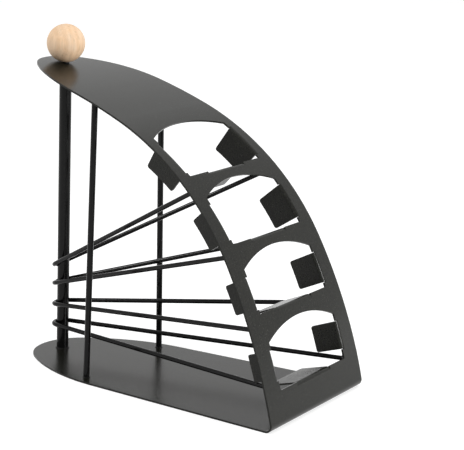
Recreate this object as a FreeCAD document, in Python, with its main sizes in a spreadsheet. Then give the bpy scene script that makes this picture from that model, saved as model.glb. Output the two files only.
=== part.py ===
import FreeCAD, Part
import math
import os
import Sketcher

# Lengths in mm, angles in degrees. X is the width, -Y the front, +Z up. Every piece is
# drawn about the back post's axis with the underside at z = 0, then moved back by frame_shift.
# A place on the front is given by its way up along the outer face, from the sharp front corner.
SIZES = {
    # bent sheet, side view: leans are measured from the vertical
    "sheet": 1.2,
    "reach": 199.5,
    "fold_radius": 4.5,
    "foot_lean": 13.4,
    "knee_lean": 29.3,
    "brow_lean": 67.4,
    "lower_radius": 354.0,
    "middle_radius": 174.0,
    "upper_radius": 380.0,
    # bent sheet, plan outlines of the base and of the top
    "half_front": 56.5,
    "waist_back": 62.0,
    "base_taper": 6.5,
    "base_side_radius": 116.0,
    "base_tip_radius": 33.0,
    "base_tip": 16.0,
    "top_taper": 10.3,
    "top_side_radius": 80.0,
    "top_tip_radius": 30.5,
    "top_tip": 15.3,
    # windows, lowest first, between two side strips
    "side_strip": 16.8,
    "arch_rise": 8.9,
    "sill_1": 22.8,
    "sill_2": 70.2,
    "sill_3": 114.7,
    "sill_4": 164.0,
    "straight_1": 29.4,
    "straight_2": 28.0,
    "straight_3": 32.4,
    "straight_4": 33.6,
    # side tabs and sill tongues, all bent inwards from the window's edge
    "bend_radius": 2.4,
    "tab_depth": 17.9,
    "tab_short": 7.5,
    "tab_below_arch": 5.0,
    "tab_slit": 0.3,
    "tab_height_1": 18.2,
    "tab_height_2": 20.0,
    "tab_height_3": 24.0,
    "tab_height_4": 25.5,
    "tongue_half": 20.0,
    "tongue_depth": 21.0,
    "tongue_slit": 0.3,
    "corner_radius": 1.5,
    # back post, its stud and the ball
    "post_radius": 4.0,
    "stud_radius": 2.0,
    "stud_depth": 10.0,
    "stud_play": 0.2,
    "bore_play": 0.05,
    "bore_spare": 0.5,
    "ball_radius": 12.5,
    # side rods, set in from the base's waist
    "rod_radius": 2.0,
    "rod_inset": 9.1,
    "rod_back": 51.2,
    "rod_lean": 1.5,
    # shelf wires: height at the post and place of the front ends, just beside the windows
    "wire_radius": 1.5,
    "wire_bend": 7.0,
    "arm_outset": 0.7,
    "wire_height_1": 18.7,
    "wire_height_2": 33.0,
    "wire_height_3": 48.1,
    "wire_height_4": 61.9,
    "wire_front_1": 22.5,
    "wire_front_2": 59.3,
    "wire_front_3": 107.2,
    "wire_front_4": 154.1,
    # welds
    "weld_gap": 0.05,
}
LEVELS = (1, 2, 3, 4)
MARGIN = 10.0


def moved(point, distance, lean):
    """Point (y, z) moved outwards along the face's normal (-cos lean, sin lean)."""
    turn = math.radians(lean)
    return point[0] - distance * math.cos(turn), point[1] + distance * math.sin(turn)


def front_arcs(v):
    """The three tangent arcs of the front: (centre, radius, lean at start, way up at start)."""
    fold_centre = (v["fold_radius"] - v["reach"], v["fold_radius"])
    way = v["fold_radius"] * math.tan(math.radians(45.0 + v["foot_lean"] / 2.0))
    arcs = []
    centre, radius, lean = fold_centre, v["fold_radius"], v["foot_lean"]
    for name, end in (("lower", v["knee_lean"]), ("middle", v["brow_lean"]), ("upper", 90.0)):
        centre = moved(centre, radius - v[name + "_radius"], lean)
        radius = v[name + "_radius"]
        arcs.append((centre, radius, lean, way))
        way += radius * math.radians(end - lean)
        lean = end
    return arcs


def place_at(v, way):
    """Arc number, point (y, z) of the outer face and lean at a way up the front."""
    arcs = front_arcs(v)
    number = max(i for i in range(3) if i == 0 or way >= arcs[i][3])
    centre, radius, lean, start = arcs[number]
    lean += math.degrees((way - start) / radius)
    return number, moved(centre, radius, lean), lean


def tangent_plan(half, taper_from, waist, waist_back, side, tip_radius, tip):
    """Half outline: a taper line, an outer arc and a tip arc about the axis, all tangent.

    The tip arc's centre is (0, tip - tip_radius). The side arc touches it inside and the
    taper line: its centre is side - tip_radius from that centre and side from the line.
    """
    run = taper_from - waist_back
    slope = math.hypot(half - waist, run)
    along = ((waist - half) / slope, run / slope)
    inward = (-along[1], along[0])
    tip_centre = (0.0, tip - tip_radius)
    foot = (-half, tip_centre[1] + taper_from)
    before = foot[0] * along[0] + foot[1] * along[1]
    beside = foot[0] * inward[0] + foot[1] * inward[1]
    reach = side - tip_radius
    step = before - math.sqrt(reach ** 2 - (side - beside) ** 2)
    touch = (half + along[0] * step, -taper_from + along[1] * step)
    centre = (touch[0] + inward[0] * side, touch[1] + inward[1] * side)
    scale = side / reach
    joint = tuple(c + (t - c) * scale for c, t in zip(centre, tip_centre))
    return touch, centre, joint, tip_centre


def wire_path(v, level):
    """Slope of a shelf wire's plane, arc met at the front, and its path's points in the plane."""
    number, outer, lean = place_at(v, v["wire_front_%d" % level])
    slope = math.atan2(outer[1] - v["wire_height_%d" % level], -outer[0])
    far = math.hypot(outer[1] - v["wire_height_%d" % level], outer[0])
    front = -far + v["sheet"] / math.cos(slope - math.radians(lean))
    rear = (v["post_radius"] + v["wire_radius"] + v["weld_gap"]) / math.cos(slope)
    middle = rear - v["wire_bend"]
    span = math.hypot(v["arm_half"], front - middle)
    turn = math.atan2(front - middle, v["arm_half"]) + math.acos(v["wire_bend"] / span)
    touch = (v["wire_bend"] * math.cos(turn), middle + v["wire_bend"] * math.sin(turn))
    stretch = 1.0 + 4.0 * v["sheet"] / math.hypot(v["arm_half"] - touch[0], front - touch[1])
    end = tuple(t + (e - t) * stretch for t, e in zip(touch, (v["arm_half"], front)))
    return math.degrees(slope), number, middle, touch, end


def derive(v):
    """Plain numbers that follow from the sizes and hold the sketches' places."""
    d = {
        "base_waist": v["half_front"] - v["base_taper"],
        "top_waist": v["half_front"] - v["top_taper"],
        "half_window": v["half_front"] - v["side_strip"],
    }
    d["rod_base_half"] = d["base_waist"] - v["rod_inset"]
    d["arm_half"] = d["half_window"] + v["arm_outset"]
    v = dict(v, **d)
    d["frame_shift"] = (v["reach"] - v["base_tip"]) / 2.0
    d["taper_from"] = v["reach"] - v["fold_radius"]
    d["tail"] = max(v["base_tip"], v["top_tip"]) + MARGIN
    names = ("lower", "middle", "upper")
    for name, (centre, radius, lean, way) in zip(names, front_arcs(v)):
        point = moved(centre, radius, lean)
        d[name + "_y"], d[name + "_z"] = centre
        d[name + "_start_y"], d[name + "_start_z"] = point
    for name in ("base", "top"):
        touch, centre, joint, middle = tangent_plan(
            v["half_front"], d["taper_from"], v[name + "_waist"], v["waist_back"],
            v[name + "_side_radius"], v[name + "_tip_radius"], v[name + "_tip"])
        d[name + "_touch_x"], d[name + "_touch_y"] = touch
        d[name + "_side_x"], d[name + "_side_y"] = centre
        d[name + "_joint_x"], d[name + "_joint_y"] = joint
    for level in LEVELS:
        derive_window(v, d, level)
        derive_wire(v, d, level)
    d["ball_z"] = d["upper_z"] + math.sqrt(
        (v["upper_radius"] + v["weld_gap"] + v["ball_radius"]) ** 2 - d["upper_y"] ** 2)
    d["bore_mouth_z"] = d["ball_z"] - math.sqrt(
        v["ball_radius"] ** 2 - (v["stud_radius"] + v["bore_play"]) ** 2)
    d["stud_top"] = d["bore_mouth_z"] + v["stud_depth"]
    d["ball_top"] = d["ball_z"] + v["ball_radius"]
    return d


def derive_tab(v, d, level):
    """A tab's section beyond its bend, which stops tab_short degrees before a square corner."""
    key = "_%d" % level
    turn = math.radians(v["tab_short"])
    radius = d["tab_radius" + key]
    for name, bend in (("flap", v["bend_radius"]), ("flap_back", v["bend_radius"] - v["sheet"])):
        d[name + "_x"] = v["half_window"] + v["bend_radius"] - bend * math.cos(turn)
        d[name + "_z" + key] = radius - v["bend_radius"] + bend * math.sin(turn)
    long = (v["tab_depth"] - v["bend_radius"] + v["bend_radius"] * math.sin(turn)) / math.cos(turn)
    d["flap_end_x"] = d["flap_x"] - long * math.sin(turn)
    d["flap_end_z" + key] = radius - v["tab_depth"]
    d["flap_back_end_x"] = d["flap_end_x"] + v["sheet"] * math.cos(turn)
    d["flap_back_end_z" + key] = d["flap_end_z" + key] - v["sheet"] * math.sin(turn)


def derive_window(v, d, level):
    """Tangent plane at a window's middle, its outline there, and the tabs' and tongue's places."""
    key = "_%d" % level
    low = v["sill" + key]
    arch = low + v["straight" + key]
    crown = arch + v["arch_rise"]
    number, point, lean = place_at(v, (low + crown) / 2.0)
    radius = front_arcs(v)[number][1]
    d["window_y" + key], d["window_z" + key] = point
    d["window_turn" + key] = 90.0 - lean
    for name, way in (("low", low), ("arch", arch), ("crown", crown)):
        bow = (way - (low + crown) / 2.0) / radius
        d[name + key] = radius * math.sin(bow)
    rise = d["crown" + key] - d["arch" + key]
    d["arch_radius" + key] = (v["half_window"] ** 2 + rise ** 2) / (2.0 * rise)
    middle = arch - v["tab_below_arch"] - v["tab_height" + key] / 2.0
    number, point, lean = place_at(v, middle)
    centre, radius = front_arcs(v)[number][:2]
    d["tab_y" + key], d["tab_z" + key] = centre
    d["tab_turn" + key] = 180.0 - lean
    d["tab_radius" + key] = radius
    d["tab_angle" + key] = math.degrees(v["tab_height" + key] / radius)
    d["recess_angle" + key] = math.degrees((v["tab_height" + key] + 2.0 * v["tab_slit"]) / radius)
    derive_tab(v, d, level)
    number, point, lean = place_at(v, low - v["bend_radius"])
    d["tongue_y" + key], d["tongue_z" + key] = point
    d["tongue_turn" + key] = -lean


def derive_wire(v, d, level):
    """Plane and path of a shelf wire."""
    key = "_%d" % level
    slope, number, middle, touch, end = wire_path(v, level)
    centre, radius = front_arcs(v)[number][:2]
    d["slope" + key] = -slope
    d["wire_middle" + key] = middle
    d["touch_x" + key], d["touch_y" + key] = touch
    d["end_x" + key], d["end_y" + key] = end
    d["seat_y" + key], d["seat_z" + key] = centre
    d["seat_radius" + key] = radius - v["sheet"] - v["weld_gap"]


VALUES = dict(SIZES)
VALUES.update(derive(SIZES))
os.makedirs("parts", exist_ok=True)
doc = FreeCAD.newDocument("remote_control_holder")
cells = doc.addObject("Spreadsheet::Sheet", "sizes")
for row, (alias, number) in enumerate(VALUES.items(), 1):
    cells.set("A%d" % row, alias)
    cells.set("B%d" % row, "%.9f" % number)
    cells.setAlias("B%d" % row, alias)
doc.recompute()


def size(*terms):
    """Value and expression of a sum of named sizes or plain numbers; a minus in front subtracts."""
    value = 0.0
    words = ""
    for term in terms:
        if not isinstance(term, str):
            value += term
            words += " + %r" % term
        elif term[0] == "-":
            value -= VALUES[term[1:]]
            words += " - sizes." + term[1:]
        else:
            value += VALUES[term]
            words += " + sizes." + term
    return value, words.strip(" +")


def mirrored(pair, side):
    """The same size on the right (side 1) or on the left (side -1)."""
    return pair if side > 0 else (-pair[0], "-1 * (%s)" % pair[1])


def new_body(name):
    body = doc.addObject("PartDesign::Body", name)
    body.Label = name
    body.Placement = FreeCAD.Placement(FreeCAD.Vector(0, VALUES["frame_shift"], 0), FreeCAD.Rotation())
    body.setExpression("Placement.Base.y", "sizes.frame_shift")
    return body


def new_sketch(body, role, name, base=(None, None, None), axis=None, turn=None):
    """Sketch on a base plane, moved by base and turned about axis within that plane's frame."""
    sketch = body.newObject("Sketcher::SketchObject", name)
    plane = [f for f in body.Origin.OriginFeatures if f.Role == role][0]
    sketch.AttachmentSupport = (plane, "")
    sketch.MapMode = "FlatFace"
    shift = FreeCAD.Vector(*[pair[0] if pair else 0.0 for pair in base])
    rotation = FreeCAD.Rotation(FreeCAD.Vector(*axis), turn[0]) if axis else FreeCAD.Rotation()
    sketch.AttachmentOffset = FreeCAD.Placement(shift, rotation)
    for letter, pair in zip("xyz", base):
        if pair:
            sketch.setExpression("AttachmentOffset.Base." + letter, pair[1])
    if axis:
        sketch.setExpression("AttachmentOffset.Rotation.Angle", turn[1])
    return sketch


def bind(sketch, kind, refs, pair):
    """A dimension bound to its expression."""
    index = sketch.addConstraint(Sketcher.Constraint(kind, *refs, pair[0]))
    sketch.setExpression("Constraints[%d]" % index, pair[1])


def vector(x, y):
    return FreeCAD.Vector(x, y, 0)


def add_arc(sketch, start, end, centre):
    """Arc from start to end about centre, the short way; gives its number and end markers."""
    middle = (start + end) * 0.5 - centre
    middle = centre + middle * ((start - centre).Length / middle.Length)
    forward = (start - centre).cross(end - centre).z > 0
    if not forward:
        start, end = end, start
    number = sketch.addGeometry(Part.Arc(start, middle, end), False)
    return number, (1, 2) if forward else (2, 1)


def outline(sketch, corners):
    """Closed outline through corners (x, y) or (x, y, centre, radius) where an arc follows."""
    points = [vector(c[0][0], c[1][0]) for c in corners]
    pieces = []
    for i, corner in enumerate(corners):
        start, end = points[i], points[(i + 1) % len(points)]
        if len(corner) == 4:
            pieces.append(add_arc(sketch, start, end, vector(*corner[2])))
        else:
            pieces.append((sketch.addGeometry(Part.LineSegment(start, end), False), (1, 2)))
    for i, (number, ends) in enumerate(pieces):
        following, next_ends = pieces[(i + 1) % len(pieces)]
        sketch.addConstraint(Sketcher.Constraint("Coincident", number, ends[1], following, next_ends[0]))
        bind(sketch, "DistanceX", (-1, 1, number, ends[0]), corners[i][0])
        bind(sketch, "DistanceY", (-1, 1, number, ends[0]), corners[i][1])
        if len(corners[i]) == 4:
            bind(sketch, "Radius", (number,), corners[i][3])


def circle(sketch, radius, x=None, y=None):
    """Circle with its centre at the sketch's origin or at (x, y)."""
    centre = vector(x[0] if x else 0.0, y[0] if y else 0.0)
    number = sketch.addGeometry(Part.Circle(centre, FreeCAD.Vector(0, 0, 1), radius[0]), False)
    if x:
        bind(sketch, "DistanceX", (-1, 1, number, 3), x)
        bind(sketch, "DistanceY", (-1, 1, number, 3), y)
    else:
        sketch.addConstraint(Sketcher.Constraint("Coincident", number, 3, -1, 1))
    bind(sketch, "Radius", (number,), radius)


def box_outline(sketch, left, right, low, high):
    outline(sketch, [(left, low), (right, low), (right, high), (left, high)])


def extrude(body, kind, sketch, name, length=None, midplane=False, flipped=False):
    """Pad or Pocket of a sketch; a Pocket without a length goes through everything."""
    feature = body.newObject("PartDesign::" + kind, name)
    feature.Profile = sketch
    feature.Midplane = midplane
    feature.Reversed = flipped
    if length:
        feature.Type = "Length"
        feature.Length = length[0]
        feature.setExpression("Length", length[1])
    else:
        feature.Type = "ThroughAll"
    doc.recompute()
    return feature


def revolve(body, kind, sketch, name, axis, angle=None):
    """Revolution or Groove about a sketch axis: a full turn, or angle shared to both sides."""
    feature = body.newObject("PartDesign::" + kind, name)
    feature.Profile = sketch
    feature.ReferenceAxis = (sketch, [axis])
    if angle:
        feature.Midplane = True
        feature.Angle = angle[0]
        feature.setExpression("Angle", angle[1])
    else:
        feature.Angle = 360.0
    doc.recompute()
    return feature


def trim_outside(body, name, centre_y, centre_z, radius, half):
    """Cut away what lies outside a cylinder along X, so that an end fits a bent plate."""
    sketch = new_sketch(body, "YZ_Plane", name + "_sketch", (centre_y, centre_z, None))
    side = (2.0 * radius[0], "2 * (%s)" % radius[1])
    box_outline(sketch, mirrored(side, -1), side, mirrored(side, -1), side)
    circle(sketch, radius)
    extrude(body, "Pocket", sketch, name, (2.0 * half[0], "2 * (%s)" % half[1]), midplane=True)


def faces_at(feature, test):
    """Names of the faces whose middle passes the test."""
    faces = feature.Shape.Faces
    return ["Face%d" % (i + 1) for i, face in enumerate(faces) if test(face)]


def section_sketch(body):
    """Side view of the folded blank, filled: base, front fold, three tangent arcs, rear."""
    sketch = new_sketch(body, "YZ_Plane", "side_view")
    v = VALUES
    fold = vector(v["fold_radius"] - v["reach"], v["fold_radius"])
    starts = [vector(v[n + "_start_y"], v[n + "_start_z"]) for n in ("lower", "middle", "upper")]
    centres = [vector(v[n + "_y"], v[n + "_z"]) for n in ("lower", "middle", "upper")]
    rise = math.sqrt(v["upper_radius"] ** 2 - (v["tail"] - v["upper_y"]) ** 2)
    rear_top = vector(v["tail"], v["upper_z"] + rise)
    toe = vector(fold.x, 0)
    rear = vector(v["tail"], 0)
    base = sketch.addGeometry(Part.LineSegment(rear, toe), False)
    chain = [(base, (1, 2)), add_arc(sketch, toe, starts[0], fold)]
    for start, end, centre in zip(starts, starts[1:] + [rear_top], centres):
        chain.append(add_arc(sketch, start, end, centre))
    back = sketch.addGeometry(Part.LineSegment(rear_top, rear), False)
    for (first, ends), (second, next_ends) in zip(chain, chain[1:]):
        sketch.addConstraint(Sketcher.Constraint("Tangent", first, ends[1], second, next_ends[0]))
    last, ends = chain[-1]
    sketch.addConstraint(Sketcher.Constraint("Coincident", last, ends[1], back, 1))
    sketch.addConstraint(Sketcher.Constraint("Coincident", back, 2, base, 1))
    sketch.addConstraint(Sketcher.Constraint("Vertical", back))
    sketch.addConstraint(Sketcher.Constraint("PointOnObject", base, 1, -1))
    bind(sketch, "DistanceX", (-1, 1, base, 1), size("tail"))
    bind(sketch, "DistanceX", (-1, 1, base, 2), size("fold_radius", "-reach"))
    names = ("fold_radius", "lower_radius", "middle_radius", "upper_radius")
    for (number, ends), name in zip(chain[1:], names):
        bind(sketch, "Radius", (number,), size(name))
    for (number, ends), name in zip(chain[2:], ("lower", "middle", "upper")):
        bind(sketch, "DistanceY", (-1, 1, number, ends[0]), size(name + "_start_z"))
    return sketch


def plan_sketch(body, name, lift):
    """Everything beside the base's or the top's plan outline, seen from above."""
    sketch = new_sketch(body, "XY_Plane", name + "_plan", (None, None, lift))
    v = VALUES
    tip = vector(0, v[name + "_tip"] - v[name + "_tip_radius"])
    wide = size("half_front", MARGIN)
    start = size("-taper_from")
    pieces = []
    corner = {}
    for side in (1, -1):
        foot = vector(side * v["half_front"], -v["taper_from"])
        touch = vector(side * v[name + "_touch_x"], v[name + "_touch_y"])
        joint = vector(side * v[name + "_joint_x"], v[name + "_joint_y"])
        middle = vector(side * v[name + "_side_x"], v[name + "_side_y"])
        line = sketch.addGeometry(Part.LineSegment(foot, touch), False)
        arc, ends = add_arc(sketch, touch, joint, middle)
        sketch.addConstraint(Sketcher.Constraint("Tangent", line, 2, arc, ends[0]))
        bind(sketch, "DistanceX", (-1, 1, line, 1), mirrored(size("half_front"), side))
        bind(sketch, "DistanceY", (-1, 1, line, 1), start)
        bind(sketch, "DistanceX", (-1, 1, line, 2), mirrored(size(name + "_touch_x"), side))
        bind(sketch, "Radius", (arc,), size(name + "_side_radius"))
        pieces.append((line, arc, ends, joint))
    (right, right_arc, right_ends, a), (left, left_arc, left_ends, b) = pieces
    cap, cap_ends = add_arc(sketch, a, b, tip)
    sketch.addConstraint(Sketcher.Constraint("Tangent", right_arc, right_ends[1], cap, cap_ends[0]))
    sketch.addConstraint(Sketcher.Constraint("Tangent", left_arc, left_ends[1], cap, cap_ends[1]))
    sketch.addConstraint(Sketcher.Constraint("PointOnObject", cap, 3, -2))
    bind(sketch, "DistanceY", (-1, 1, cap, 3), size(name + "_tip", "-" + name + "_tip_radius"))
    far = size("tail", MARGIN)
    ring = [(size("half_front"), start), (wide, start), (wide, far),
            (mirrored(wide, -1), far), (mirrored(wide, -1), start), (mirrored(size("half_front"), -1), start)]
    lines = []
    for (x, y), (p, q) in zip(ring, ring[1:]):
        lines.append(sketch.addGeometry(Part.LineSegment(vector(x[0], y[0]), vector(p[0], q[0])), False))
    for first, second, (x, y) in zip(lines, lines[1:], ring[1:]):
        sketch.addConstraint(Sketcher.Constraint("Coincident", first, 2, second, 1))
        bind(sketch, "DistanceX", (-1, 1, second, 1), x)
        bind(sketch, "DistanceY", (-1, 1, second, 1), y)
    sketch.addConstraint(Sketcher.Constraint("Coincident", lines[0], 1, right, 1))
    sketch.addConstraint(Sketcher.Constraint("Coincident", lines[-1], 2, left, 1))
    return sketch


def cut_window(body, level):
    """Window with straight sides and a low arch, cut square to the face at its middle."""
    key = "_%d" % level
    sketch = new_sketch(
        body, "XY_Plane", "window" + key + "_sketch",
        (None, size("window_y" + key), size("window_z" + key)), (1, 0, 0), size("window_turn" + key))
    half = size("half_window")
    radius = size("arch_radius" + key)
    centre = (0.0, VALUES["crown" + key] - radius[0])
    outline(sketch, [
        (mirrored(half, -1), size("low" + key)), (half, size("low" + key)),
        (half, size("arch" + key), centre, radius), (mirrored(half, -1), size("arch" + key))])
    extrude(body, "Pocket", sketch, "window" + key, (6.0 * VALUES["sheet"], "6 * sizes.sheet"))


def add_tabs(body, level):
    """Recess beside the window with a relief slit at both ends, and the tab bent into it."""
    key = "_%d" % level
    base = (None, size("tab_y" + key), size("tab_z" + key))
    place = (base, (1, 0, 0), size("tab_turn" + key))
    face = size("tab_radius" + key)
    deep = size("tab_radius" + key, "-sheet")
    start = size("half_window", "bend_radius")
    sketch = new_sketch(body, "XY_Plane", "recess" + key + "_sketch", *place)
    inner = size("tab_radius" + key, "-sheet", "-sheet")
    outer = size("tab_radius" + key, "sheet")
    within = size("half_window", "-sheet")
    box_outline(sketch, within, start, inner, outer)
    box_outline(sketch, mirrored(start, -1), mirrored(within, -1), inner, outer)
    revolve(body, "Groove", sketch, "recess" + key, "H_Axis", size("recess_angle" + key))
    sketch = new_sketch(body, "XY_Plane", "tabs" + key + "_sketch", *place)
    for side in (1, -1):
        root = mirrored(start, side)
        centre = (root[0], VALUES["tab_radius" + key] - VALUES["bend_radius"])
        outline(sketch, [
            (root, face, centre, size("bend_radius")),
            (mirrored(size("flap_x"), side), size("flap_z" + key)),
            (mirrored(size("flap_end_x"), side), size("flap_end_z" + key)),
            (mirrored(size("flap_back_end_x"), side), size("flap_back_end_z" + key)),
            (mirrored(size("flap_back_x"), side), size("flap_back_z" + key),
             centre, size("bend_radius", "-sheet")),
            (root, deep)])
    revolve(body, "Revolution", sketch, "tabs" + key, "H_Axis", size("tab_angle" + key))


def add_tongue(body, level):
    """Notch in the sill with a relief slit at both ends, and the tongue bent back from it."""
    key = "_%d" % level
    base = (size("tongue_y" + key), size("tongue_z" + key), None)
    place = (base, (0, 0, 1), size("tongue_turn" + key))
    zero = (0.0, "0")
    sketch = new_sketch(body, "YZ_Plane", "notch" + key + "_sketch", *place)
    box_outline(sketch, size("-sheet"), size("sheet", "sheet"), zero, size("bend_radius", "sheet"))
    notch = size("tongue_half", "tongue_half", "tongue_slit", "tongue_slit")
    extrude(body, "Pocket", sketch, "notch" + key, notch, midplane=True)
    sketch = new_sketch(body, "YZ_Plane", "tongue" + key + "_sketch", *place)
    bend = size("bend_radius")
    centre = (bend[0], 0.0)
    under = size("bend_radius", "-sheet")
    outline(sketch, [
        (zero, zero, centre, bend), (bend, bend), (size("tongue_depth"), bend),
        (size("tongue_depth"), under), (bend, under, centre, under), (size("sheet"), zero)])
    extrude(body, "Pad", sketch, "tongue" + key, size("tongue_half", "tongue_half"), midplane=True)


def free_corners(feature):
    """Short edges through the thickness at the free ends of the tabs and tongues."""
    names = []
    v = VALUES
    for i, edge in enumerate(feature.Shape.Edges):
        if abs(edge.Length - v["sheet"]) > 0.01:
            continue
        a, b = edge.Vertexes[0].Point, edge.Vertexes[-1].Point
        middle = (a + b) * 0.5
        for level in LEVELS:
            key = "_%d" % level
            reach = math.hypot(middle.y - v["tab_y" + key], middle.z - v["tab_z" + key])
            across = abs(abs(middle.x) - (v["flap_end_x"] + v["flap_back_end_x"]) / 2.0) < 0.01
            free_end = (v["flap_end_z" + key] + v["flap_back_end_z" + key]) / 2.0
            if across and abs(reach - free_end) < 0.01:
                names.append("Edge%d" % (i + 1))
            turn = math.radians(-v["tongue_turn" + key])
            depth = (middle.y - v["tongue_y" + key]) * math.cos(turn)
            depth -= (middle.z - v["tongue_z" + key]) * math.sin(turn)
            if abs(abs(middle.x) - v["tongue_half"]) < 0.01 and abs(depth - v["tongue_depth"]) < 0.01:
                names.append("Edge%d" % (i + 1))
    return sorted(set(names), key=lambda n: int(n[4:]))


def make_folded_sheet():
    """One blank: base, front fold, arched front that runs over into the top, tabs and tongues."""
    body = new_body("folded_sheet")
    width = size("half_front", "half_front")
    block = extrude(body, "Pad", section_sketch(body), "blank", width, midplane=True)
    tail = VALUES["tail"]
    half = VALUES["half_front"]
    opened = faces_at(block, lambda f: abs(abs(f.CenterOfMass.x) - half) < 1e-4
                      or abs(f.CenterOfMass.y - tail) < 1e-4)
    shell = body.newObject("PartDesign::Thickness", "thickness")
    shell.Base = (block, opened)
    shell.Value = VALUES["sheet"]
    shell.setExpression("Value", "sizes.sheet")
    shell.Reversed = True
    shell.Join = "Intersection"
    doc.recompute()
    base_cut = plan_sketch(body, "base", (0.0, "0"))
    extrude(body, "Pocket", base_cut, "base_outline", size("sheet"), flipped=True)
    top_cut = plan_sketch(body, "top", size("sheet"))
    extrude(body, "Pocket", top_cut, "top_outline", flipped=True)
    for level in LEVELS:
        cut_window(body, level)
    for level in LEVELS:
        add_tabs(body, level)
        add_tongue(body, level)
    hole = new_sketch(body, "XY_Plane", "stud_hole_sketch", (None, None, size("sheet")))
    circle(hole, size("stud_radius", "stud_play"))
    pierced = extrude(body, "Pocket", hole, "stud_hole", flipped=True)
    rounded = body.newObject("PartDesign::Fillet", "free_corners")
    rounded.Base = (pierced, free_corners(pierced))
    rounded.Radius = VALUES["corner_radius"]
    rounded.setExpression("Radius", "sizes.corner_radius")
    doc.recompute()
    return body


def make_back_post():
    """Round post welded on the base, with a stud turned on its end that passes the top."""
    body = new_body("back_post")
    sketch = new_sketch(body, "XY_Plane", "post_sketch", (None, None, size("sheet")))
    circle(sketch, size("post_radius"))
    extrude(body, "Pad", sketch, "post", size("ball_z", "-sheet"))
    trim_outside(
        body, "post_end", size("upper_y"), size("upper_z"),
        size("upper_radius", "-sheet", "-weld_gap"), size("post_radius", MARGIN))
    sketch = new_sketch(body, "XY_Plane", "stud_sketch", (None, None, size("sheet")))
    circle(sketch, size("stud_radius"))
    extrude(body, "Pad", sketch, "stud", size("stud_top", "-sheet"))
    return body


def make_side_rod(name, side):
    """Thin round rod from the base to the top, leaning a little inwards."""
    body = new_body(name)
    low = size("sheet", -MARGIN)
    base = (mirrored(size("rod_base_half"), side), size("-rod_back"), size("sheet"))
    lean = mirrored(size("rod_lean"), -side)
    sketch = new_sketch(body, "XY_Plane", "rod_sketch", base, (0, 1, 0), lean)
    circle(sketch, size("rod_radius"))
    extrude(body, "Pad", sketch, "rod", (2.0 * VALUES["ball_z"], "2 * sizes.ball_z"), midplane=True)
    sketch = new_sketch(body, "XY_Plane", "foot_sketch", (None, None, size("sheet")))
    wide = size("rod_base_half", MARGIN)
    deep = size("rod_back", MARGIN)
    box_outline(sketch, mirrored(wide, -1), wide, mirrored(deep, -1), deep)
    extrude(body, "Pocket", sketch, "foot")
    trim_outside(
        body, "rod_end", size("upper_y"), size("upper_z"),
        size("upper_radius", "-sheet", "-weld_gap"), wide)
    return body


def make_shelf_wire(level):
    """Wire bent round the back of the post, with two arms that spread to the front."""
    key = "_%d" % level
    body = new_body("shelf_wire" + key)
    path = new_sketch(
        body, "XY_Plane", "path", (None, None, size("wire_height" + key)), (1, 0, 0), size("slope" + key))
    v = VALUES
    touch = [vector(side * v["touch_x" + key], v["touch_y" + key]) for side in (-1, 1)]
    ends = [vector(side * v["end_x" + key], v["end_y" + key]) for side in (-1, 1)]
    centre = vector(0, v["wire_middle" + key])
    left = path.addGeometry(Part.LineSegment(ends[0], touch[0]), False)
    bend, marks = add_arc(path, touch[0], touch[1], centre)
    right = path.addGeometry(Part.LineSegment(touch[1], ends[1]), False)
    path.addConstraint(Sketcher.Constraint("Tangent", left, 2, bend, marks[0]))
    path.addConstraint(Sketcher.Constraint("Tangent", bend, marks[1], right, 1))
    path.addConstraint(Sketcher.Constraint("PointOnObject", bend, 3, -2))
    bind(path, "DistanceY", (-1, 1, bend, 3), size("wire_middle" + key))
    bind(path, "Radius", (bend,), size("wire_bend"))
    for line, mark, side in ((left, 1, -1), (right, 2, 1)):
        bind(path, "DistanceX", (-1, 1, line, mark), mirrored(size("end_x" + key), side))
        bind(path, "DistanceY", (-1, 1, line, mark), size("end_y" + key))
    doc.recompute()
    profile = body.newObject("Sketcher::SketchObject", "profile")
    profile.AttachmentSupport = (path, "Edge1")
    profile.MapMode = "NormalToEdge"
    circle(profile, size("wire_radius"))
    doc.recompute()
    wire = body.newObject("PartDesign::AdditivePipe", "wire")
    wire.Profile = profile
    wire.Spine = path
    doc.recompute()
    trim_outside(
        body, "wire_ends", size("seat_y" + key), size("seat_z" + key),
        size("seat_radius" + key), size("arm_half", MARGIN))
    return body


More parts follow.
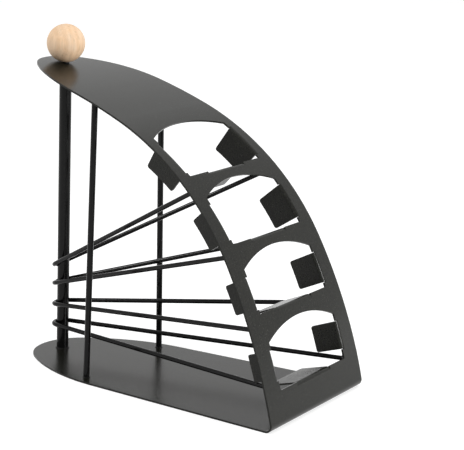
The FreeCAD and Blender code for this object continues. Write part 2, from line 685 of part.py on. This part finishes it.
def make_wooden_ball():
    """Turned ball with a blind bore that takes the post's stud."""
    body = new_body("wooden_ball")
    sketch = new_sketch(body, "XZ_Plane", "ball_sketch")
    zero = (0.0, "0")
    bore = size("stud_radius", "bore_play")
    v = VALUES
    top = vector(0, v["ball_top"])
    mouth = vector(bore[0], v["bore_mouth_z"])
    roof = v["stud_top"] + v["bore_spare"]
    centre = vector(0, v["ball_z"])
    wall = sketch.addGeometry(Part.LineSegment(vector(bore[0], roof), mouth), False)
    arc, marks = add_arc(sketch, mouth, top, centre)
    axis = sketch.addGeometry(Part.LineSegment(top, vector(0, roof)), False)
    lid = sketch.addGeometry(Part.LineSegment(vector(0, roof), vector(bore[0], roof)), False)
    sketch.addConstraint(Sketcher.Constraint("Coincident", wall, 2, arc, marks[0]))
    sketch.addConstraint(Sketcher.Constraint("Coincident", arc, marks[1], axis, 1))
    sketch.addConstraint(Sketcher.Constraint("Coincident", axis, 2, lid, 1))
    sketch.addConstraint(Sketcher.Constraint("Coincident", lid, 2, wall, 1))
    sketch.addConstraint(Sketcher.Constraint("PointOnObject", axis, 1, -2))
    sketch.addConstraint(Sketcher.Constraint("PointOnObject", axis, 2, -2))
    sketch.addConstraint(Sketcher.Constraint("PointOnObject", arc, 3, -2))
    sketch.addConstraint(Sketcher.Constraint("Vertical", wall))
    sketch.addConstraint(Sketcher.Constraint("Horizontal", lid))
    bind(sketch, "DistanceX", (-1, 1, wall, 2), bore)
    bind(sketch, "DistanceY", (-1, 1, arc, 3), size("ball_z"))
    bind(sketch, "DistanceY", (-1, 1, lid, 1), size("stud_top", "bore_spare"))
    bind(sketch, "Radius", (arc,), size("ball_radius"))
    revolve(body, "Revolution", sketch, "ball", "V_Axis")
    return body


bodies = [make_folded_sheet(), make_back_post(), make_side_rod("side_rod_left", -1),
          make_side_rod("side_rod_right", 1)]
bodies += [make_shelf_wire(level) for level in LEVELS]
bodies.append(make_wooden_ball())
doc.recompute()
for thing in doc.Objects:
    if "Invalid" in thing.State or "Error" in thing.State:
        raise RuntimeError("not computed: " + thing.Name)
for body in bodies:
    shape = body.Shape
    if shape.isNull() or not shape.isValid() or len(shape.Solids) != 1:
        raise RuntimeError("not one valid solid: " + body.Label)
    shape.exportStep("parts/%s.step" % body.Label)
    box = shape.BoundBox
    print(body.Label, round(shape.Volume, 1), [round(x, 2) for x in (
        box.XMin, box.XMax, box.YMin, box.YMax, box.ZMin, box.ZMax)])
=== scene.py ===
import math

import bpy
import numpy as np
from mathutils import Matrix, Vector


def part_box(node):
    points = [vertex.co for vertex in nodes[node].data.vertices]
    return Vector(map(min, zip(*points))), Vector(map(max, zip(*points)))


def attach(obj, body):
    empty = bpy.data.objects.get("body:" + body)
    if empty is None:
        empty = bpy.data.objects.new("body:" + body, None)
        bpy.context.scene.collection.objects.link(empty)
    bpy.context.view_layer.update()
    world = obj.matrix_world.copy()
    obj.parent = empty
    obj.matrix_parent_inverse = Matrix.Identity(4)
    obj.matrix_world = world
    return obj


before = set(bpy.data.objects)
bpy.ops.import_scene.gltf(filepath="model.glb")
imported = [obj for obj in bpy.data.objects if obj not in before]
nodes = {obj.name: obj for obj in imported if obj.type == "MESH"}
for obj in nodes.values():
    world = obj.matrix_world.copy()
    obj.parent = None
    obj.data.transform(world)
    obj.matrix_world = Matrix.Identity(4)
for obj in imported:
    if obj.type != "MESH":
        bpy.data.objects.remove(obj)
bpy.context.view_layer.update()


# Folded sheet: one blank of 1.2 mm steel makes the base, the front and the top. It is cut, its tabs
# and tongues are bent inwards, it is bent at the front foot and rolled, and then powder coated black.
def add(tree, kind, **values):
    """New node; a value sets the property of that name, or else the input of that name."""
    node = tree.nodes.new(kind)
    for key, value in values.items():
        name = key.replace("_", " ")
        if name in node.inputs:
            node.inputs[name].default_value = value
        else:
            setattr(node, key, value)
    return node


def ramp(tree, source, stops):
    """Colour ramp of source through stops (position, grey or colour)."""
    node = tree.nodes.new("ShaderNodeValToRGB")
    elements = node.color_ramp.elements
    while len(elements) < len(stops):
        elements.new(0.5)
    for element, (place, colour) in zip(elements, stops):
        element.position = place
        grey = isinstance(colour, (int, float))
        element.color = (colour, colour, colour, 1.0) if grey else (*colour, 1.0)
    tree.links.new(source, node.inputs["Fac"])
    return node.outputs["Color"]


def blend(tree, kind, factor, first, second):
    """Colour mix of two sockets by a fixed or a linked factor."""
    node = add(tree, "ShaderNodeMix", data_type="RGBA", blend_type=kind)
    if isinstance(factor, float):
        node.inputs[0].default_value = factor
    else:
        tree.links.new(factor, node.inputs[0])
    tree.links.new(first, node.inputs[6])
    tree.links.new(second, node.inputs[7])
    return node.outputs[2]


def new_material(name):
    """Material with its tree, shader and Object coordinates."""
    material = bpy.data.materials.new(name)
    material.use_nodes = True
    tree = material.node_tree
    place = add(tree, "ShaderNodeTexCoord").outputs["Object"]
    return material, tree, tree.nodes["Principled BSDF"], place


def powder_group():
    """Grain is 0.6 of a coarse noise and 0.4 of a fine one; mottle is a slow noise, and specks are
    the peaks of a last one. Scales are features per metre."""
    group = bpy.data.node_groups.new("powder_detail", "ShaderNodeTree")
    group.interface.new_socket("Coordinates", in_out="INPUT", socket_type="NodeSocketVector")
    for label in ("Grain", "Mottle", "Specks"):
        group.interface.new_socket(label, in_out="OUTPUT", socket_type="NodeSocketFloat")
    start, end = group.nodes.new("NodeGroupInput"), group.nodes.new("NodeGroupOutput")
    coarse = add(group, "ShaderNodeTexNoise", Scale=900.0, Detail=2.0, Roughness=0.6)
    fine = add(group, "ShaderNodeTexNoise", Scale=2600.0, Detail=2.0, Roughness=0.5)
    mottle = add(group, "ShaderNodeTexNoise", Scale=38.0, Detail=4.0, Roughness=0.6)
    specks = add(group, "ShaderNodeTexNoise", Scale=1300.0, Detail=1.0)
    for node in (coarse, fine, mottle, specks):
        group.links.new(start.outputs["Coordinates"], node.inputs["Vector"])
    grain = add(group, "ShaderNodeMath", operation="MULTIPLY_ADD")
    grain.inputs[1].default_value = 0.6
    group.links.new(coarse.outputs["Fac"], grain.inputs[0])
    share = add(group, "ShaderNodeMath", operation="MULTIPLY")
    share.inputs[1].default_value = 0.4
    group.links.new(fine.outputs["Fac"], share.inputs[0])
    group.links.new(share.outputs[0], grain.inputs[2])
    group.links.new(grain.outputs[0], end.inputs["Grain"])
    group.links.new(mottle.outputs["Fac"], end.inputs["Mottle"])
    peaks = ramp(group, specks.outputs["Fac"], [(0.62, 0.0), (0.76, 1.0)])
    group.links.new(peaks, end.inputs["Specks"])
    return group


def powder_coat(name, detail_group, dark, light, speck, low, high, bump, ior):
    """Coat of tone dark..light by grain and mottling, with specks, roughness low..high and bump."""
    material, tree, shader, place = new_material(name)
    detail = add(tree, "ShaderNodeGroup", node_tree=detail_group)
    tree.links.new(place, detail.inputs["Coordinates"])
    tone = ramp(tree, detail.outputs["Grain"], [(0.36, dark), (0.64, light)])
    slow = ramp(tree, detail.outputs["Mottle"], [(0.3, 0.8), (0.7, 1.0)])
    tone = blend(tree, "MULTIPLY", 1.0, tone, slow)
    pale = ramp(tree, detail.outputs["Specks"], [(0.0, 0.0), (1.0, speck)])
    tree.links.new(blend(tree, "ADD", 1.0, tone, pale), shader.inputs["Base Color"])
    rough = add(tree, "ShaderNodeMapRange", From_Min=0.3, From_Max=0.7, To_Min=low, To_Max=high)
    tree.links.new(detail.outputs["Grain"], rough.inputs["Value"])
    tree.links.new(rough.outputs["Result"], shader.inputs["Roughness"])
    relief = add(tree, "ShaderNodeBump", Strength=bump, Distance=0.00006)
    tree.links.new(detail.outputs["Grain"], relief.inputs["Height"])
    tree.links.new(relief.outputs["Normal"], shader.inputs["Normal"])
    shader.inputs["IOR"].default_value = ior
    return material


powder = powder_group()
sheet_coat = powder_coat("sheet_powder_coat", powder, dark=(0.002, 0.002, 0.0015),
                         light=(0.0125, 0.013, 0.0085), speck=0.02, low=0.19, high=0.28,
                         bump=0.65, ior=1.29)


CUT_EDGE_ROUNDING = 0.00018


def dress(node, material, rounding):
    """Material, smooth faces between edges sharper than 30 degrees, and a bevel of the given width."""
    node.data.materials.clear()
    node.data.materials.append(material)
    node.data.shade_smooth()
    node.data.set_sharp_from_angle(angle=math.radians(30.0))
    if rounding:
        bevel = node.modifiers.new("rounding", "BEVEL")
        bevel.limit_method = "ANGLE"
        bevel.angle_limit = math.radians(40.0)
        bevel.width = rounding
        bevel.segments = 2
        bevel.harden_normals = True


dress(nodes["folded_sheet"], sheet_coat, CUT_EDGE_ROUNDING)


# Post, rods and wires: an 8 mm post, two 4 mm rods and four bent 3 mm wires, all of round steel. They
# are welded to the sheet and coated with it. Their coat is glossier, and its colour is made darker than
# the sheet's as painted shade.
# painted shade: the sheet's coat in a darker colour, for the post, rods, wires and welds
wire_coat_painted_shade = powder_coat("wire_powder_coat_painted_shade", powder, dark=(0.001, 0.001, 0.001),
                        light=(0.0035, 0.0035, 0.0033), speck=0.01, low=0.13, high=0.18,
                        bump=0.2, ior=1.25)
for name, node in nodes.items():
    if name not in ("folded_sheet", "wooden_ball"):
        dress(node, wire_coat_painted_shade, 0.0)


# Wooden ball: a turned and sanded beech ball on the post's stud. Rings and fibre stand upright, with
# short ray flecks and a slow warm cloud over them.
def beech(name, centre):
    """Colour is rings x fibre x flecks x cloud; the fibre is also the relief."""
    material, tree, shader, place = new_material(name)
    shift = add(tree, "ShaderNodeMapping", Location=tuple(-c for c in centre))
    tree.links.new(place, shift.inputs["Vector"])
    stretch = add(tree, "ShaderNodeMapping", Scale=(1.0, 1.0, 0.08), Rotation=(0.05, 0.09, 0.6))
    tree.links.new(shift.outputs["Vector"], stretch.inputs["Vector"])
    rings = add(tree, "ShaderNodeTexWave", wave_type="BANDS", bands_direction="X", Scale=75.0,
                Distortion=3.5, Detail=3.0, Detail_Scale=1.6)
    fibre = add(tree, "ShaderNodeTexNoise", Scale=1100.0, Detail=4.0, Roughness=0.6)
    flecks = add(tree, "ShaderNodeTexNoise", Scale=620.0, Detail=2.0)
    for node in (rings, fibre, flecks):
        tree.links.new(stretch.outputs["Vector"], node.inputs["Vector"])
    cloud = add(tree, "ShaderNodeTexNoise", Scale=95.0, Detail=2.0)
    tree.links.new(shift.outputs["Vector"], cloud.inputs["Vector"])
    tone = ramp(tree, rings.outputs["Color"],
                [(0.0, (0.757, 0.548, 0.372)), (0.5, (0.785, 0.575, 0.395)), (1.0, (0.80, 0.60, 0.42))])
    streaks = ramp(tree, fibre.outputs["Fac"], [(0.35, 0.78), (0.65, 1.0)])
    tone = blend(tree, "MULTIPLY", 0.5, tone, streaks)
    rays = ramp(tree, flecks.outputs["Fac"], [(0.60, 1.0), (0.70, 0.74)])
    tone = blend(tree, "MULTIPLY", 0.6, tone, rays)
    warm = ramp(tree, cloud.outputs["Fac"], [(0.35, (1.0, 0.93, 0.84)), (0.65, (1.0, 1.0, 1.0))])
    tree.links.new(blend(tree, "MULTIPLY", 1.0, tone, warm), shader.inputs["Base Color"])
    relief = add(tree, "ShaderNodeBump", Strength=0.2, Distance=0.0001)
    tree.links.new(fibre.outputs["Fac"], relief.inputs["Height"])
    tree.links.new(relief.outputs["Normal"], shader.inputs["Normal"])
    shader.inputs["Roughness"].default_value = 0.6
    shader.inputs["IOR"].default_value = 1.4
    return material


low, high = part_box("wooden_ball")
wood = beech("beech", [(a + b) / 2.0 for a, b in zip(low, high)])
dress(nodes["wooden_ball"], wood, 0.0)


# Welds of the post and rods: small steel fillets round each foot and head, coated with the rest. Each
# is a rippled rope along a seam, in millimetres. A seam is a line of points with, at each, the
# direction away from the bar and the one along it.
SHEET, POST_Y, POST_RADIUS, ROD_RADIUS, WIRE_RADIUS = 1.2, 91.75, 4.0, 2.0, 1.5
ROD_X, ROD_Y, ROD_LENGTH, ROD_LEAN = 40.9, POST_Y - 51.2, 180.0, math.radians(1.5)
BELOW_TOP = 150.0
# Centre y, centre z and outer radius of the front's three arcs, from the foot up.
ARCS = ((236.735, -76.496, 354.0), (79.763, 11.593, 174.0), (158.928, -178.588, 380.0))


def inside(points, way, arc):
    """Points p moved along the unit way d to the sheet's inner face, where in (y, z) the distance
    |p + t d - c| from the arc's centre c is its radius less the sheet."""
    cy, cz, radius = ARCS[arc]
    py, pz, dy, dz = points[:, 1] - cy, points[:, 2] - cz, way[1], way[2]
    a, b, c = dy * dy + dz * dz, py * dy + pz * dz, py * py + pz * pz - (radius - SHEET) ** 2
    return points + ((-b + np.sqrt(b * b - a * c)) / a)[:, None] * way


def rope(seam, thick, taper, seed):
    """Tube about the seam: radius = thick (1 + ripple), times sqrt(1 - u^4) + 0.02 when tapered, u from
    -1 to 1. A tapered tube ends in two poles, any other is a ring whose last row is its first."""
    points, away, along = seam
    count = len(points)
    random = np.random.default_rng(seed)
    length = np.concatenate([[0.0], np.cumsum(np.linalg.norm(np.diff(points, axis=0), axis=1))])
    ripple = 0.06 * np.sin(length * 7.0) + 0.05 * np.sin(length * 1.9 + seed)
    ripple += 0.03 * random.standard_normal(count)
    ripple -= np.linspace(0.0, ripple[-1] - ripple[0], count)
    u = np.linspace(-1.0, 1.0, count)
    radius = thick * (1.0 + ripple) * (np.sqrt(1.0 - u ** 4) + 0.02 if taper else 1.0)
    turn = np.linspace(0.0, 2.0 * math.pi, 15)[:-1]
    around = np.cos(turn)[None, :, None] * away[:, None, :]
    around = around + np.sin(turn)[None, :, None] * along[:, None, :]
    tube = points[:, None, :] + radius[:, None, None] * around
    return (tube, points[[0, -1]]) if taper else (tube[:-1], points[:0])


def skin(tube, poles):
    """Quads (i, j), (i, j+1), (i+1, j+1), (i+1, j) that wrap round, and fans to the poles. All are
    reversed where the volume, the sum of p0 . (p1 x p2) / 6, comes out negative."""
    rows, columns = tube.shape[:2]
    i, j = np.arange(rows - 1 if len(poles) else rows)[:, None], np.arange(columns)[None, :]
    here, after, beside = i * columns, (i + 1) % rows * columns, (j + 1) % columns
    quads = np.stack([here + j, here + beside, after + beside, after + j], axis=-1).reshape(-1, 4)
    j, beside, last, pole = j[0], beside[0], (rows - 1) * columns, rows * columns
    fans = np.zeros((0, 3), int)
    if len(poles):
        fans = np.concatenate([np.stack([beside, j, 0 * j + pole], axis=1),
                               np.stack([last + j, last + beside, 0 * j + pole + 1], axis=1)])
    points = np.concatenate([tube.reshape(-1, 3), poles])
    corners = points[np.concatenate([quads[:, :3], quads[:, [0, 2, 3]], fans])] - points.mean(axis=0)
    volume = np.einsum("ij,ij->", corners[:, 0], np.cross(corners[:, 1], corners[:, 2])) / 6.0
    turn = slice(None, None, -1) if volume < 0.0 else slice(None)
    return points, quads[:, turn], fans[:, turn]


def ring_seam(centre, way, radius, land):
    """Seam round a bar of the given radius: its circle's points are moved by land(points)."""
    way = np.array(way) / np.linalg.norm(way)
    first = np.cross(way, (1.0, 0.0, 0.0) if abs(way[0]) < 0.9 else (0.0, 1.0, 0.0))
    first /= np.linalg.norm(first)
    second = np.cross(way, first)
    turn = np.linspace(0.0, 2.0 * math.pi, 61)
    away = np.cos(turn)[:, None] * first + np.sin(turn)[:, None] * second
    points = land(np.array(centre) + radius * away)
    return points, away, np.tile(way, (61, 1))


def beads(name, ropes, material):
    """One mesh of several ropes, in millimetres, riding on the whole part."""
    points, faces, start = [], [], 0
    for tube, poles in ropes:
        own, quads, fans = skin(tube, poles)
        points.append(own)
        faces += (quads + start).tolist() + (fans + start).tolist()
        start += len(own)
    mesh = bpy.data.meshes.new(name)
    mesh.from_pydata((np.concatenate(points) * 0.001).tolist(), [], faces)
    mesh.shade_smooth()
    mesh.materials.append(material)
    thing = bpy.data.objects.new(name, mesh)
    bpy.context.scene.collection.objects.link(thing)
    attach(thing, "root")


def on_base(points):
    """Down to the base's upper face."""
    return points * (1.0, 1.0, 0.0) + (0.0, 0.0, SHEET)


def under_top(points):
    """Up to the top's underside."""
    return inside(points, np.array((0.0, 0.0, 1.0)), 2)


up = (0.0, 0.0, 1.0)
foot = ring_seam((0.0, POST_Y, SHEET), up, POST_RADIUS, on_base)
beads("weld_post_foot", [rope(foot, 0.75, False, 1)], wire_coat_painted_shade)
head = ring_seam((0.0, POST_Y, BELOW_TOP), up, POST_RADIUS, under_top)
beads("weld_post_head", [rope(head, 0.8, False, 2)], wire_coat_painted_shade)
rods = []
for side in (-1, 1):
    lean = (-side * math.sin(ROD_LEAN), 0.0, math.cos(ROD_LEAN))
    foot = ring_seam((side * ROD_X, ROD_Y, SHEET), lean, ROD_RADIUS, on_base)
    rods.append(rope(foot, 0.6, False, 3 + side))
    head_x = side * (ROD_X - ROD_LENGTH * math.tan(ROD_LEAN))
    head = ring_seam((head_x, ROD_Y, BELOW_TOP), lean, ROD_RADIUS, under_top)
    rods.append(rope(head, 0.85, False, 7 + side))
beads("weld_rod_ends", rods, wire_coat_painted_shade)


# Welds of the wires: a short steel bead above and one below each bend where it hugs the post, and a
# ring where each arm meets the front, coated with the rest.
BEAD_REACH, BEAD_RISE, RUN_UP = 4.25, 1.35, 20.0
backs, fronts = [], []
# A row: height at the post, slope in degrees, arc of the front, and the arm's two ends, each as its
# distances to the side and back along the slope.
for level, (height, slope, arc, touch, end) in enumerate((
        (18.7, 0.907, 0, (6.898, -0.256), (41.218, -198.608)),
        (33.0, 7.33, 0, (6.886, -0.145), (41.264, -188.052)),
        (48.1, 17.618, 1, (6.866, 0.185), (41.334, -173.558)),
        (61.9, 29.2, 1, (6.836, 0.865), (41.433, -156.088)))):
    tilt = math.radians(slope)
    for over in (-1, 1):
        turn = np.radians(np.linspace(52.0, 128.0, 41))
        away = np.stack([np.cos(turn), np.sin(turn), 0.0 * turn], axis=1)
        points = away * BEAD_REACH + np.array((0.0, POST_Y, 0.0))
        points[:, 2] = height - (points[:, 1] - POST_Y) * math.tan(tilt)
        points[:, 2] += over * BEAD_RISE / math.cos(tilt)
        seam = (points, away, np.tile(up, (41, 1)))
        backs.append(rope(seam, 0.7, True, 10 + 2 * level + over))
    for side in (-1, 1):
        spots = [np.array((side * x, POST_Y + m * math.cos(tilt), height - m * math.sin(tilt)))
                 for x, m in (touch, end)]
        way = (spots[1] - spots[0]) / np.linalg.norm(spots[1] - spots[0])
        seam = ring_seam(spots[1] - RUN_UP * way, way, WIRE_RADIUS, lambda p: inside(p, way, arc))
        fronts.append(rope(seam, 0.7, False, 30 + 2 * level + side))
beads("weld_wire_backs", backs, wire_coat_painted_shade)
beads("weld_wire_fronts", fronts, wire_coat_painted_shade)


# Stage: the photograph's camera, a pale floor that is white to seen rays, a world that lights more
# from behind and the right, and four lamps: above, in front, behind at the left, and a weak one at
# the front right. Places are in metres, turns in degrees.
IMAGE_WIDTH, SENSOR_WIDTH = 464.0, 36.0


def make_camera(place, yaw, pitch, roll, pixels):
    """Camera looking along (sin yaw cos pitch, cos yaw cos pitch, -sin pitch), rolled about it, with
    a focal length in pixels of the image."""
    y, p, r = (math.radians(a) for a in (yaw, pitch, roll))
    ahead = Vector((math.sin(y) * math.cos(p), math.cos(y) * math.cos(p), -math.sin(p)))
    level = Vector((math.cos(y), -math.sin(y), 0.0))
    above = level.cross(ahead)
    right = level * math.cos(r) + above * math.sin(r)
    up = above * math.cos(r) - level * math.sin(r)
    data = bpy.data.cameras.new("camera")
    data.sensor_width = SENSOR_WIDTH
    data.lens = pixels * SENSOR_WIDTH / IMAGE_WIDTH
    data.clip_start = 0.01
    camera = bpy.data.objects.new("camera", data)
    bpy.context.scene.collection.objects.link(camera)
    turn = Matrix((right, up, -ahead)).transposed().to_4x4()
    camera.matrix_world = Matrix.Translation(place) @ turn
    bpy.context.scene.camera = camera


def seen_rays(tree):
    """1 for a ray from the camera, a gloss or a clear body, 0 for the light on the object."""
    path = add(tree, "ShaderNodeLightPath")
    mask = path.outputs["Is Camera Ray"]
    for kind in ("Is Glossy Ray", "Is Transmission Ray"):
        larger = add(tree, "ShaderNodeMath", operation="MAXIMUM")
        tree.links.new(mask, larger.inputs[0])
        tree.links.new(path.outputs[kind], larger.inputs[1])
        mask = larger.outputs[0]
    return mask


def make_floor():
    """Floor of pale diffuse colour; seen rays get the white that leaves only a faint shadow."""
    material, tree, shader, _ = new_material("floor")
    shader.inputs["Base Color"].default_value = (0.55, 0.55, 0.55, 1.0)
    shader.inputs["Roughness"].default_value = 0.9
    shader.inputs["Emission Color"].default_value = (1.0, 1.0, 1.0, 1.0)
    share = add(tree, "ShaderNodeMath", operation="MULTIPLY")
    share.inputs[1].default_value = 0.6
    tree.links.new(seen_rays(tree), share.inputs[0])
    tree.links.new(share.outputs[0], shader.inputs["Emission Strength"])
    mesh = bpy.data.meshes.new("floor")
    mesh.from_pydata([(-3, -3, 0), (3, -3, 0), (3, 3, 0), (-3, 3, 0)], [], [(0, 1, 2, 3)])
    mesh.materials.append(material)
    floor = bpy.data.objects.new("floor", mesh)
    bpy.context.scene.collection.objects.link(floor)


def make_world():
    """World of strength 1 for seen rays; else low at the far left, full behind and to the right."""
    world = bpy.data.worlds.new("studio")
    bpy.context.scene.world = world
    world.use_nodes = True
    tree = world.node_tree
    background = tree.nodes["Background"]
    where = add(tree, "ShaderNodeTexCoord")
    toward = add(tree, "ShaderNodeVectorMath", operation="DOT_PRODUCT")
    toward.inputs[1].default_value = (0.375, -0.325, 0.0)
    tree.links.new(where.outputs["Generated"], toward.inputs[0])
    level = add(tree, "ShaderNodeMath", operation="ADD")
    level.inputs[1].default_value = 0.5
    tree.links.new(toward.outputs["Value"], level.inputs[0])
    soft = ramp(tree, level.outputs[0], [(0.0, 0.2), (0.2, 0.3), (0.35, 0.7),
                                         (0.56, 0.88), (0.8, 0.66), (1.0, 0.55)])
    height = add(tree, "ShaderNodeSeparateXYZ")
    tree.links.new(where.outputs["Generated"], height.inputs[0])
    soft = blend(tree, "MULTIPLY", 1.0, soft, ramp(
        tree, height.outputs["Z"], [(0.0, 1.8), (0.2, 1.2), (0.36, 0.95), (1.0, 0.95)]))
    white = add(tree, "ShaderNodeRGB")
    white.outputs[0].default_value = (1.0, 1.0, 1.0, 1.0)
    tree.links.new(blend(tree, "MIX", seen_rays(tree), soft, white.outputs[0]),
                   background.inputs["Color"])


def make_light(name, place, width, height, power):
    """Area light of width x height at place, turned towards the part's middle."""
    data = bpy.data.lights.new(name, "AREA")
    data.shape = "RECTANGLE"
    data.size = width
    data.size_y = height
    data.energy = power
    light = bpy.data.objects.new(name, data)
    bpy.context.scene.collection.objects.link(light)
    light.location = place
    aim = Vector((0.0, 0.0, 0.1)) - Vector(place)
    light.rotation_euler = aim.to_track_quat("-Z", "Y").to_euler()


make_camera((-0.8634, -0.57655, 0.3437), 58.154, 13.127, 2.003, 1672.0)
make_floor()
make_world()
make_light("top_light", (0.15, 0.2, 1.3), 1.6, 1.6, 4.5)
make_light("front_light", (0.0, -1.25, 0.42), 0.24, 0.4, 10.5)
make_light("back_light", (-0.96, 0.88, 0.93), 0.3, 0.3, 9.0)
make_light("side_light", (1.25, -0.72, 0.0), 0.4, 0.3, 0.25)
bpy.context.scene.view_settings.view_transform = "Standard"
